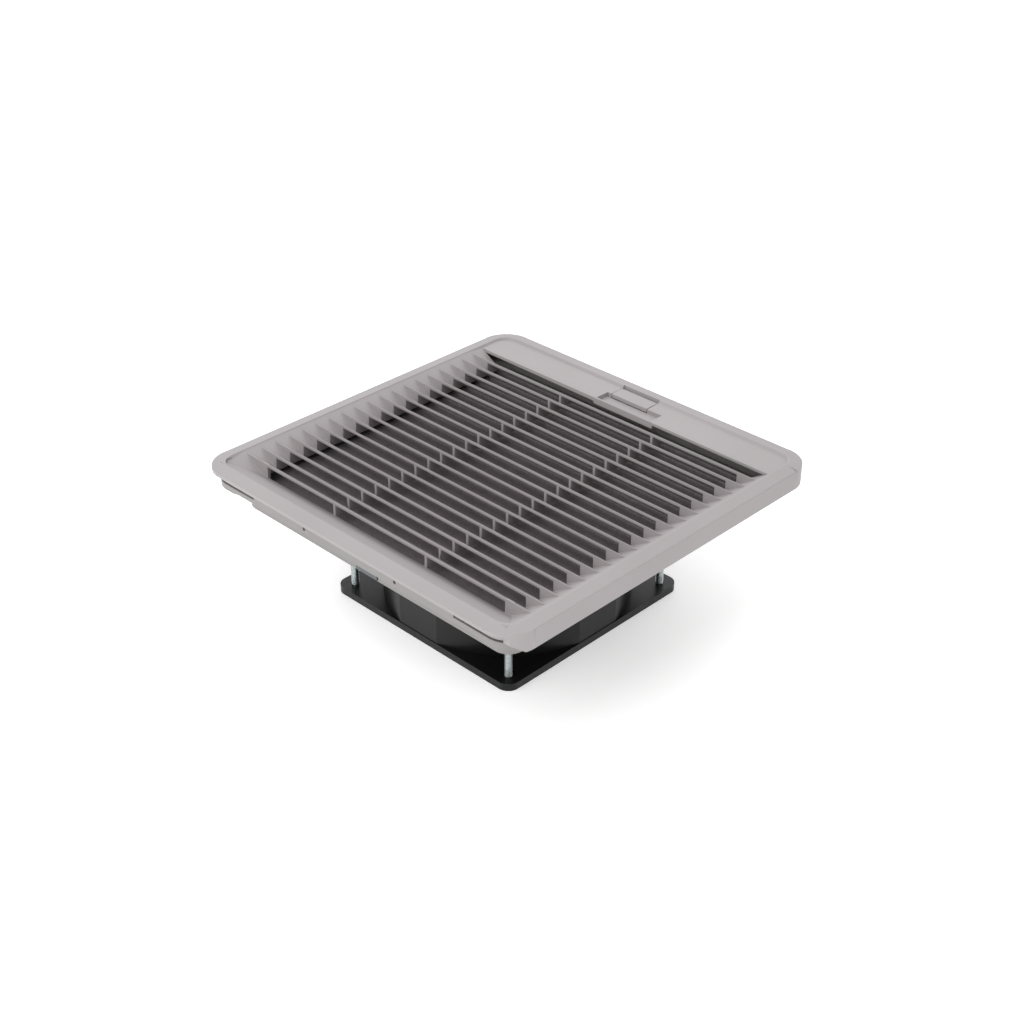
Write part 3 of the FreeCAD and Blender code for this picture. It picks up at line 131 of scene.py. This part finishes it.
floor_shape = bmesh.new()
bmesh.ops.create_grid(floor_shape, x_segments=1, y_segments=1, size=table_size / 2)
floor_mesh = bpy.data.meshes.new("table_top")
floor_shape.to_mesh(floor_mesh)
floor_shape.free()
opal_acrylic = start_material("opal_acrylic_lit_from_below", {
    "Base Color": linear(table_tone), "Roughness": 0.7, "Specular IOR Level": 0.2,
    "Emission Color": linear(white_tone), "Emission Strength": table_glow})[0]
floor_mesh.materials.append(opal_acrylic)
table_top = place_object("table_top", floor_mesh)

room = bpy.data.worlds.new("white_room")
room.use_nodes = True
walls = room.node_tree.nodes["Background"]
walls.inputs["Color"].default_value = linear(white_tone)
walls.inputs["Strength"].default_value = room_glow
scene.world = room

for lamp_name, lamp_place, lamp_watts in lamps:
    light = bpy.data.lights.new(lamp_name, "AREA")
    light.size = lamp_width
    light.energy = lamp_watts
    lamp = place_object(lamp_name, light, lamp_place)
    lamp.rotation_euler = (aim - lamp.location).to_track_quat("-Z", "Y").to_euler()

# The louvred cover: one injection moulding in light grey ABS, with inclined blades on two cross
# ribs inside a bevelled rim. It hangs on two pins along its near edge.
cover_tone = "#A49FA0"
cover_light_tone = "#A8A3A4"
flow_width = 60 * mm
flow_start = 0.35
flow_end = 0.65
grain_width = 0.7 * mm
grain_depth = 0.05 * mm
grain_strength = 0.12
grain_gloss = 0.46
grain_dullness = 0.62
cover_edge = 0.3 * mm
round_angle = math.radians(28)
crease_angle = math.radians(10.5)
flat_angle = math.radians(0.6)
weld_distance = 0.002 * mm
long_edge = 4.0 * mm
least_roundings_long = 3.0
least_roundings_wide = 2.5


def moulded_abs(name, tone, light_tone):
    """ABS from a spark-eroded mould. The fine grain scatters light, so it shines broad and weak,
    and its tone drifts a little along the flow. The grain is drawn coarser than its real 0.1 mm."""
    material, tree, surface = start_material(name, {"IOR": 1.54, "Specular IOR Level": 0.35})
    place = add_node(tree, "TexCoord").outputs["Object"]
    grain = add_node(tree, "TexNoise", {"Vector": place, "Scale": 1 / grain_width, "Detail": 3.0})
    flow = add_node(tree, "TexNoise", {"Vector": place, "Scale": 1 / flow_width, "Detail": 2.0})
    drift = add_node(tree, "ValToRGB", {"Fac": flow.outputs["Fac"]})
    drift.color_ramp.elements[0].position = flow_start
    drift.color_ramp.elements[0].color = linear(tone)
    drift.color_ramp.elements[1].position = flow_end
    drift.color_ramp.elements[1].color = linear(light_tone)
    tree.links.new(drift.outputs["Color"], surface.inputs["Base Color"])
    sheen = add_node(tree, "MapRange", {"Value": grain.outputs["Fac"], "To Min": grain_gloss,
                                        "To Max": grain_dullness})
    tree.links.new(sheen.outputs["Result"], surface.inputs["Roughness"])
    bump = add_node(tree, "Bump", {"Height": grain.outputs["Fac"], "Strength": grain_strength,
                                   "Distance": grain_depth})
    tree.links.new(bump.outputs["Normal"], surface.inputs["Normal"])
    return material


def has_room(side, edge):
    """True for a sharp edge with room to round it: it is long itself, and the edges that meet it
    and the two faces beside it are several roundings long and wide."""
    if not side.is_manifold or side.calc_face_angle() < round_angle:
        return False
    length = side.calc_length()
    meeting = [other.calc_length() for point in side.verts for other in point.link_edges]
    widths = [face.calc_area() / length for face in side.link_faces]
    return (length > long_edge and min(meeting) > least_roundings_long * edge
            and min(widths) > least_roundings_wide * edge)


def soften(node, name, material, edge, steps=2):
    """A copy of a CAD node with its sharp edges rounded, as its mould or press leaves them. It
    stands in the node's place."""
    mesh = frame["nodes"][node].data.copy()
    mesh.materials.clear()
    mesh.materials.append(material)
    shape = bmesh.new()
    shape.from_mesh(mesh)
    bmesh.ops.remove_doubles(shape, verts=shape.verts, dist=weld_distance)
    bmesh.ops.dissolve_limit(shape, angle_limit=flat_angle, verts=shape.verts, edges=shape.edges)
    weights = shape.edges.layers.float.new("bevel_weight_edge")
    for side in shape.edges:
        side[weights] = float(has_room(side, edge))
    shape.to_mesh(mesh)
    shape.free()
    mesh.shade_smooth()
    mesh.set_sharp_from_angle(angle=crease_angle)
    piece = place_object(name, mesh)
    rounding = piece.modifiers.new("rounded_edges", "BEVEL")
    rounding.width = edge
    rounding.segments = steps
    rounding.limit_method = "WEIGHT"
    rounding.use_clamp_overlap = False
    shading = piece.modifiers.new("large_faces_lead_shading", "WEIGHTED_NORMAL")
    shading.keep_sharp = True
    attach(piece, frame["nodes"][node]["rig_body"])
    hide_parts(node)
    return piece


cover_abs = moulded_abs("light_grey_moulded_abs", cover_tone, cover_light_tone)
soften("louvre_cover", "louvred_cover", cover_abs, cover_edge)

# The latch: a small lever of the same ABS that turns on a pin in the cover. A finger lifts its
# front lip, and the hook below it lets go of the frame.
latch_edge = 0.15 * mm
soften("cover_latch", "latch_lever", cover_abs, latch_edge)

# The mounting frame: one ABS moulding a shade darker than the cover. Its flange lies on the panel
# and its duct goes through the cut-out down to the fan. It carries the mat's grid and the guard.
frame_tone = "#918E8D"
frame_light_tone = "#969392"
frame_edge = 0.2 * mm
frame_abs = moulded_abs("frame_grey_moulded_abs", frame_tone, frame_light_tone)
soften("base_frame", "mounting_frame", frame_abs, frame_edge)

# The filter mat: a pad of bonded polyester fibres, grey with a purple cast, cut to fill the duct.
# Its faces are uneven, because tufts of fibre stand out of them.
mat_low, mat_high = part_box("filter_mat")
mat_size = mat_high - mat_low
mat_middle = (mat_high + mat_low) / 2
mat_corner = 5.0 * mm
mat_cells = 120
mat_lift = 0.35 * mm
swell_width = 6.0 * mm
tuft_width = 1.7 * mm
fibre_width = 0.55 * mm
swell_share = 0.6
tuft_share = 0.4
fibre_depth = 0.5 * mm
fibre_strength = 0.6
patch_width = 12.0 * mm
patch_share = 0.25
tangle_start = 0.4
tangle_end = 0.8
# painted shade and random tone: the mat's dark end, reached where the fine fibre noise and the
# patches are low
mat_dark_patch_and_fibre_shade_tone = "#676064"
mat_light_tone = "#999296"
mat_sheen_tone = "#C9C3C6"


def bonded_fibre(name):
    """Bonded polyester: a tangle of fibres, with painted shade where a fine noise darkens it as
    if fibres shaded one another, and larger patches whose tone differs at random. It glows a
    little at its edges. The fibres are drawn at 0.5 mm, coarser than their real 0.03 mm, so
    that they show."""
    material, tree, surface = start_material(name, {
        "Roughness": 0.95, "Specular IOR Level": 0.1, "Sheen Weight": 0.2,
        "Sheen Roughness": 0.6, "Sheen Tint": linear(mat_sheen_tone)})
    place = add_node(tree, "TexCoord").outputs["Object"]
    tangle = add_node(tree, "TexNoise", {"Vector": place, "Scale": 1 / fibre_width, "Detail": 4.0,
                                         "Distortion": 1.6})
    patches = add_node(tree, "TexNoise", {"Vector": place, "Scale": 1 / patch_width,
                                          "Detail": 3.0})
    both = add_node(tree, "Math", {0: patches.outputs["Fac"], 1: patch_share,
                                   2: tangle.outputs["Fac"]}, operation="MULTIPLY_ADD")
    tones = add_node(tree, "ValToRGB", {"Fac": both.outputs["Value"]})
    tones.color_ramp.elements[0].position = tangle_start
    tones.color_ramp.elements[0].color = linear(mat_dark_patch_and_fibre_shade_tone)
    tones.color_ramp.elements[1].position = tangle_end
    tones.color_ramp.elements[1].color = linear(mat_light_tone)
    tree.links.new(tones.outputs["Color"], surface.inputs["Base Color"])
    bump = add_node(tree, "Bump", {"Height": tangle.outputs["Fac"], "Strength": fibre_strength,
                                   "Distance": fibre_depth})
    tree.links.new(bump.outputs["Normal"], surface.inputs["Normal"])
    return material


shape = bmesh.new()
bmesh.ops.create_grid(shape, x_segments=mat_cells, y_segments=mat_cells, size=mat_size.x / 2)
straight = mat_size.x / 2 - mat_corner
for point in shape.verts:
    over = Vector((max(abs(point.co.x) - straight, 0), max(abs(point.co.y) - straight, 0)))
    if over.x > 0 and over.y > 0:
        over *= max(over) / over.length
        point.co.x = math.copysign(straight + over.x, point.co.x)
        point.co.y = math.copysign(straight + over.y, point.co.y)
underside = bmesh.ops.extrude_face_region(shape, geom=shape.faces[:])
lower_points = {item for item in underside["geom"] if isinstance(item, bmesh.types.BMVert)}
bmesh.ops.translate(shape, verts=list(lower_points), vec=(0, 0, 2 * mat_lift - mat_size.z))
bmesh.ops.recalc_face_normals(shape, faces=shape.faces)
for point in shape.verts:
    spot = point.co.copy()
    swell = (swell_share * noise.noise(spot / swell_width)
             + tuft_share * noise.noise(spot / tuft_width))
    point.co.z += mat_lift * (-swell if point in lower_points else swell)
bmesh.ops.translate(shape, verts=shape.verts,
                    vec=mat_middle + Vector((0, 0, mat_size.z / 2 - mat_lift)))
mat_mesh = bpy.data.meshes.new("filter_pad")
shape.to_mesh(mat_mesh)
shape.free()
mat_mesh.shade_smooth()
mat_mesh.materials.append(bonded_fibre("bonded_polyester_fibre"))
filter_pad = place_object("filter_pad", mat_mesh)
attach(filter_pad, "housing")
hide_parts("filter_mat")

# The panel gasket: a strip of closed-cell foam rubber glued under the frame's flange. Its skin is
# matt black with fine open pores where it was cut, and painted shade darkens the pores.
foam_edge = 0.5 * mm
pore_width = 0.6 * mm
pore_depth = 0.25 * mm
pore_strength = 0.6
pore_floor = 0.1
pore_rim = 0.4
foam_tone = "#17171A"
# painted shade: this darker tone fills the pores' hollows
painted_pore_shade_tone = "#0B0B0C"


def foam_rubber(name):
    """Closed-cell foam: black and quite matt, with pores drawn at 0.6 mm.
    Painted shade darkens the pores.
    """
    material, tree, surface = start_material(name, {"Roughness": 0.92, "Specular IOR Level": 0.25})
    place = add_node(tree, "TexCoord").outputs["Object"]
    pores = add_node(tree, "TexVoronoi", {"Vector": place, "Scale": 1 / pore_width})
    tones = add_node(tree, "ValToRGB", {"Fac": pores.outputs["Distance"]})
    tones.color_ramp.elements[0].position = pore_floor
    tones.color_ramp.elements[0].color = linear(painted_pore_shade_tone)
    tones.color_ramp.elements[1].position = pore_rim
    tones.color_ramp.elements[1].color = linear(foam_tone)
    tree.links.new(tones.outputs["Color"], surface.inputs["Base Color"])
    bump = add_node(tree, "Bump", {"Height": pores.outputs["Distance"],
                                   "Strength": pore_strength, "Distance": pore_depth})
    tree.links.new(bump.outputs["Normal"], surface.inputs["Normal"])
    return material


foam_strip = soften("panel_gasket", "foam_strip", foam_rubber("closed_cell_foam_rubber"),
                    foam_edge, steps=3)

# The panel clips: four leaf springs of spring steel in the duct's walls, blue-grey from the oven
# that tempered them. They are bent outwards so that they snap behind the panel's edge.
strip_edge = 0.08 * mm
spring_tone = "#66686B"
spring_roughness = 0.3
spring_streak = 0.8 * mm
mark_depth = 0.01 * mm
mark_strength = 0.3
mark_spread = 0.3


def worked_metal(name, tone, roughness, mark_width):
    """Metal as its tool left it: fine marks vary the gloss, so reflections look brushed."""
    material, tree, surface = start_material(name, {"Base Color": linear(tone), "Metallic": 1.0})
    place = add_node(tree, "TexCoord").outputs["Object"]
    marks = add_node(tree, "TexNoise", {"Vector": place, "Scale": 1 / mark_width, "Detail": 4.0})
    gloss = add_node(tree, "MapRange", {"Value": marks.outputs["Fac"],
                                        "To Min": (1 - mark_spread) * roughness,
                                        "To Max": (1 + mark_spread) * roughness})
    tree.links.new(gloss.outputs["Result"], surface.inputs["Roughness"])
    bump = add_node(tree, "Bump", {"Height": marks.outputs["Fac"], "Strength": mark_strength,
                                   "Distance": mark_depth})
    tree.links.new(bump.outputs["Normal"], surface.inputs["Normal"])
    return material


spring_steel = worked_metal("tempered_spring_steel", spring_tone, spring_roughness,
                            spring_streak)
soften("panel_clips", "leaf_springs", spring_steel, strip_edge, steps=1)

# The hinge pins and the latch pin: cut from drawn steel wire, and pressed into the frame's bosses
# and into the cover. Only their ends show, bright with fine marks.
wire_tone = "#C3C5C8"
wire_roughness = 0.22
wire_streak = 0.5 * mm
drawn_wire = worked_metal("drawn_steel_wire", wire_tone, wire_roughness, wire_streak)


def finish_node(node, material):
    """Gives a CAD node that keeps its own shape its material."""
    mesh = frame["nodes"][node].data
    mesh.materials.clear()
    mesh.materials.append(material)


finish_node("hinge_pins", drawn_wire)
finish_node("latch_pin", drawn_wire)

# The fan's casing: die-cast aluminium, two square flanges on a clipped barrel, with the motor's
# seat on four struts. It is painted black, semi-gloss with a slight orange peel.
casting_tone = "#131314"
casting_roughness = 0.34
casting_peel = 0.15
casting_edge = 0.35 * mm
peel_width = 1.5 * mm
peel_depth = 0.1 * mm
peel_spread = 0.2


def black_finish(name, tone, roughness, peel):
    """Black paint or black plastic: dark, with a soft gloss that an uneven skin breaks up."""
    material, tree, surface = start_material(name, {
        "Base Color": linear(tone), "Specular IOR Level": 0.3})
    place = add_node(tree, "TexCoord").outputs["Object"]
    skin = add_node(tree, "TexNoise", {"Vector": place, "Scale": 1 / peel_width, "Detail": 2.0})
    gloss = add_node(tree, "MapRange", {"Value": skin.outputs["Fac"],
                                        "To Min": (1 - peel_spread) * roughness,
                                        "To Max": (1 + peel_spread) * roughness})
    tree.links.new(gloss.outputs["Result"], surface.inputs["Roughness"])
    bump = add_node(tree, "Bump", {"Height": skin.outputs["Fac"], "Strength": peel,
                                   "Distance": peel_depth})
    tree.links.new(bump.outputs["Normal"], surface.inputs["Normal"])
    return material


casting_paint = black_finish("black_paint_on_die_cast_aluminium", casting_tone,
                             casting_roughness, casting_peel)
soften("fan_frame", "fan_casting", casting_paint, casting_edge)

# The fan wheel and the terminal block: glass-filled nylon, moulded black. It is a little greyer
# and duller than the paint, with the fibres' bloom on it.
nylon_tone = "#1B1B1C"
nylon_roughness = 0.5
nylon_bloom = 0.25
wheel_edge = 0.2 * mm
block_edge = 0.3 * mm
black_nylon = black_finish("black_glass_filled_nylon", nylon_tone, nylon_roughness, nylon_bloom)
soften("impeller", "fan_wheel", black_nylon, wheel_edge)
soften("terminal_block", "fan_terminal_block", black_nylon, block_edge)

# The terminal tabs: two blades stamped from brass sheet, with bevelled corners, and fixed in the
# terminal block. The thin tin over the brass is a pale yellow with a soft shine.
tab_tone = "#C2B68C"
tab_roughness = 0.3
tab_mark = 0.6 * mm
tab_edge = 0.15 * mm
tinned_brass = worked_metal("tinned_stamped_brass", tab_tone, tab_roughness, tab_mark)
soften("terminal_tabs", "blade_tabs", tinned_brass, tab_edge, steps=1)

# The four fan screws: long countersunk machine screws of zinc-plated steel, threaded all along,
# with a cross recess in the head. They pass both flanges into the frame's brass inserts.
screw_low, screw_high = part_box("fan_screws")
head_radius = 4.0 * mm
head_land = 0.2 * mm
head_height = 2.1 * mm
core_radius = 1.62 * mm
thread_radius = 1.95 * mm
thread_pitch = 0.7 * mm
thread_steps = 12
ridge_share = 0.9
ridge_sink = 0.1 * mm
point_bevel = 0.5 * mm
recess_reach = 2.4 * mm
recess_width = 1.0 * mm
recess_depth = 1.1 * mm
recess_taper = 0.72
turn_steps = 32
cut_distance = weld_distance / 4
zinc_tone = "#D5DDDD"
zinc_roughness = 0.28
zinc_mark = 3.0 * mm


def head_faces(shape):
    """The flat faces of the head: a screw stands on its head, flush with the fan's rear flange."""
    return [face for face in shape.faces if max(point.co.z for point in face.verts) < weld_distance]


def turned_core(shape, top):
    """The head and the thread's core, turned in one."""
    outline = [(0, 0), (head_radius - head_land, 0), (head_radius, head_land),
               (core_radius, head_height), (core_radius, top - point_bevel),
               (core_radius - point_bevel, top), (0, top)]
    points = [shape.verts.new((radius, 0, height)) for radius, height in outline]
    edges = [shape.edges.new(pair) for pair in zip(points, points[1:])]
    bmesh.ops.spin(shape, geom=points + edges, cent=(0, 0, 0), axis=(0, 0, 1), angle=math.tau,
                   steps=turn_steps, use_merge=True)
    bmesh.ops.remove_doubles(shape, verts=shape.verts, dist=weld_distance)


def pressed_recess(shape):
    """A cross pressed up into the head, narrower at its floor."""
    for axis in (Vector((1, 0, 0)), Vector((0, 1, 0))):
        for offset in (-recess_reach, -recess_width / 2, recess_width / 2, recess_reach):
            faces = head_faces(shape)
            edges = {edge for face in faces for edge in face.edges}
            points = {point for face in faces for point in face.verts}
            bmesh.ops.bisect_plane(shape, geom=[*faces, *edges, *points], plane_co=axis * offset,
                                   plane_no=axis, dist=cut_distance)
    cross = []
    for face in head_faces(shape):
        middle = face.calc_center_median()
        near, far = sorted((abs(middle.x), abs(middle.y)))
        if near < recess_width / 2 and far < recess_reach:
            cross.append(face)
    grown = bmesh.ops.extrude_face_region(shape, geom=cross)
    floor = [item for item in grown["geom"] if isinstance(item, bmesh.types.BMVert)]
    bmesh.ops.delete(shape, geom=cross, context="FACES")
    bmesh.ops.scale(shape, verts=floor, vec=(recess_taper, recess_taper, 1))
    bmesh.ops.translate(shape, verts=floor, vec=(0, 0, recess_depth))


def spun_thread(shape, top):
    """One ridge that winds up the core, with its roots sunk in it."""
    foot = head_height - thread_pitch / 2
    ridge_height = ridge_share * thread_pitch
    section = ((core_radius - ridge_sink, 0, foot),
               (thread_radius, 0, foot + ridge_height / 2),
               (core_radius - ridge_sink, 0, foot + ridge_height))
    ridge = shape.faces.new([shape.verts.new(place) for place in section])
    turns = int((top - point_bevel - foot) / thread_pitch) - 1
    bmesh.ops.spin(shape, geom=[ridge], cent=(0, 0, 0), axis=(0, 0, 1), angle=math.tau * turns,
                   dvec=(0, 0, thread_pitch / thread_steps), steps=thread_steps * turns)


one_screw = bmesh.new()
turned_core(one_screw, screw_high.z)
pressed_recess(one_screw)
spun_thread(one_screw, screw_high.z)
bmesh.ops.recalc_face_normals(one_screw, faces=one_screw.faces)
one_mesh = bpy.data.meshes.new("one_screw")
one_screw.to_mesh(one_mesh)
one_screw.free()
screws = bmesh.new()
for side_x in (screw_low.x + head_radius, screw_high.x - head_radius):
    for side_y in (screw_low.y + head_radius, screw_high.y - head_radius):
        earlier = len(screws.verts)
        screws.from_mesh(one_mesh)
        screws.verts.ensure_lookup_table()
        bmesh.ops.translate(screws, verts=screws.verts[earlier:], vec=(side_x, side_y, 0))
bpy.data.meshes.remove(one_mesh)
screw_mesh = bpy.data.meshes.new("threaded_screws")
screws.to_mesh(screw_mesh)
screws.free()
screw_mesh.shade_smooth()
screw_mesh.set_sharp_from_angle(angle=round_angle)
zinc_steel = worked_metal("bright_zinc_plated_steel", zinc_tone, zinc_roughness, zinc_mark)
screw_mesh.materials.append(zinc_steel)
threaded_screws = place_object("threaded_screws", screw_mesh)
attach(threaded_screws, "housing")
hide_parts("fan_screws")

# The screw inserts: knurled bushes, turned from brass bar and melted into the frame's four bosses.
# The fan screws end in them. Their faces are a warm yellow with fine marks from the lathe.
brass_tone = "#C9A45C"
brass_roughness = 0.3
brass_mark = 0.6 * mm
turned_brass = worked_metal("turned_brass", brass_tone, brass_roughness, brass_mark)
finish_node("screw_inserts", turned_brass)

# The rotor: a deep-drawn steel cup, painted black, round a ring of stamped steel sheets whose
# cage is cast in aluminium. The fan wheel is pressed on the cup.
cup_tone = "#151515"
cup_roughness = 0.36
cup_peel = 0.1
sheet_tone = "#7C7D80"
sheet_roughness = 0.45
sheet_thickness = 0.5 * mm
cage_tone = "#C8C9CB"
cage_roughness = 0.4
cage_mark = 1.0 * mm
stamped_sheets = worked_metal("stamped_core_steel", sheet_tone, sheet_roughness,
                              sheet_thickness)
cup_paint = black_finish("black_paint_on_drawn_steel", cup_tone, cup_roughness, cup_peel)
finish_node("rotor_cup", cup_paint)
finish_node("rotor_laminations", stamped_sheets)
cast_cage = worked_metal("cast_aluminium_cage", cage_tone, cage_roughness, cage_mark)
finish_node("rotor_end_rings", cast_cage)

# The stator: four poles of stamped sheets round the bearing tube, each with a nylon bobbin that is
# wound with enamelled copper wire.
bobbin_tone = "#DAD7CB"
bobbin_light_tone = "#DEDBD0"
wire_width = 0.35 * mm
band_scale = 0.5
turn_strength = 0.5
turn_crest = 0.5
enamel_tone = "#B5673A"
# painted shade: this dark tone lines the grooves between the turns
painted_groove_shade_tone = "#7E3F1F"


def wound_wire(name):
    """Enamelled copper, wound in close turns: a red-brown metal with a line of painted shade
    in the groove between the turns, about a wire's width apart."""
    material, tree, surface = start_material(name, {"Metallic": 1.0, "Roughness": 0.32})
    place = add_node(tree, "TexCoord").outputs["Object"]
    turns = add_node(tree, "TexWave", {"Vector": place, "Scale": band_scale / wire_width,
                                       "Distortion": 0.4}, bands_direction="DIAGONAL")
    tones = add_node(tree, "ValToRGB", {"Fac": turns.outputs["Fac"]})
    tones.color_ramp.elements[0].color = linear(painted_groove_shade_tone)
    tones.color_ramp.elements[1].position = turn_crest
    tones.color_ramp.elements[1].color = linear(enamel_tone)
    tree.links.new(tones.outputs["Color"], surface.inputs["Base Color"])
    bump = add_node(tree, "Bump", {"Height": turns.outputs["Fac"], "Strength": turn_strength,
                                   "Distance": wire_width / 2})
    tree.links.new(bump.outputs["Normal"], surface.inputs["Normal"])
    return material


finish_node("stator_laminations", stamped_sheets)
finish_node("coil_bobbins", moulded_abs("natural_moulded_nylon", bobbin_tone, bobbin_light_tone))
finish_node("stator_coils", wound_wire("enamelled_copper_winding"))

# The shaft and the two ball bearings that it runs in: hardened steel, ground so fine that it
# mirrors. Its clip and its preload spring are of spring steel, and a moulded cap closes the
# bearing tube below.
ground_tone = "#D5D6D8"
ground_roughness = 0.12
ground_mark = 0.5 * mm
ground_steel = worked_metal("ground_bearing_steel", ground_tone, ground_roughness, ground_mark)
for place in ("front", "rear"):
    for part in ("outer_ring", "inner_ring", "balls"):
        finish_node(f"{place}_bearing_{part}", ground_steel)
finish_node("rotor_shaft", ground_steel)
finish_node("shaft_clip", spring_steel)
finish_node("preload_spring", spring_steel)
finish_node("bearing_cap", black_nylon)
